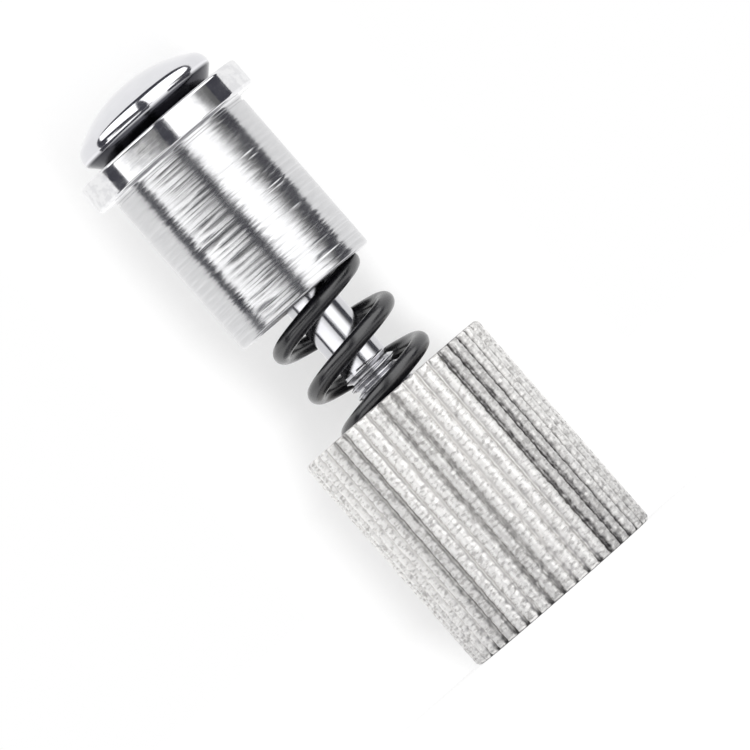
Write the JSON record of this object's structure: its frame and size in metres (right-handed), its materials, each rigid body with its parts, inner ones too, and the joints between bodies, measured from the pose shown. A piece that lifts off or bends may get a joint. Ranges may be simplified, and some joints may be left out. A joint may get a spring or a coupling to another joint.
{
  "type": "hand grip strengthener",
  "caption": "Sprung hand grip unit: domed rod, sliding flanged barrel, coil spring and fluted handle that screws along the rod to set the resistance.",
  "frame": {"origin": "centre of the handle's flat end, which it stands on", "axes": "+Z along the rod, from the handle's flat end to the domed head; +X and +Y across it"},
  "size_m": [0.0234, 0.0234, 0.0693],
  "materials": {
    "polished_chrome": "mirror polished",
    "turned_steel": "turned, with fine tool lines round it",
    "bronze": "sintered, satin",
    "plain_steel": "satin",
    "black_spring_steel": "black oxide, satin",
    "blasted_aluminium": "bead blasted and bright",
    "nylon": "moulded",
    "black_plastic": "moulded"
  },
  "bodies": {
    "handle": {"knurled_handle": "blasted_aluminium", "threaded_insert": "plain_steel", "lock_ring": "nylon", "end_plug": "black_plastic"},
    "lower_seat": {"lower_spring_washer": "plain_steel", "coil_spring": "black_spring_steel"},
    "rod": {"headed_rod": "polished_chrome", "retaining_clip": "plain_steel"},
    "upper_seat": {"upper_spring_washer": "plain_steel"},
    "barrel": {"flanged_barrel": "turned_steel", "upper_guide_bush": "bronze", "lower_guide_bush": "bronze"}
  },
  "joints": [
    {"name": "barrel_squeeze", "type": "slide", "parent": "rod", "child": "upper_seat", "axis": [0, 0, -1], "range_m": [0, 0.01], "stiffness_N_per_m": 28500, "springref_m": -0.002, "deforming": ["coil_spring"]},
    {"name": "barrel_spin", "type": "hinge", "parent": "upper_seat", "child": "barrel", "pos_m": [0, 0, 0.0506], "axis": [0, 0, 1], "continuous": true},
    {"name": "handle_feed", "type": "slide", "parent": "lower_seat", "child": "rod", "axis": [0, 0, 1], "range_m": [-0.002, 0.002]},
    {"name": "handle_turn", "type": "hinge", "parent": "handle", "child": "lower_seat", "pos_m": [0, 0, 0.0136], "axis": [0, 0, 1], "range_deg": [-738, 738]}
  ],
  "couplings": [
    {"joint": "handle_turn", "follows": "handle_feed", "rad_per_m": 6283.2}
  ]
}
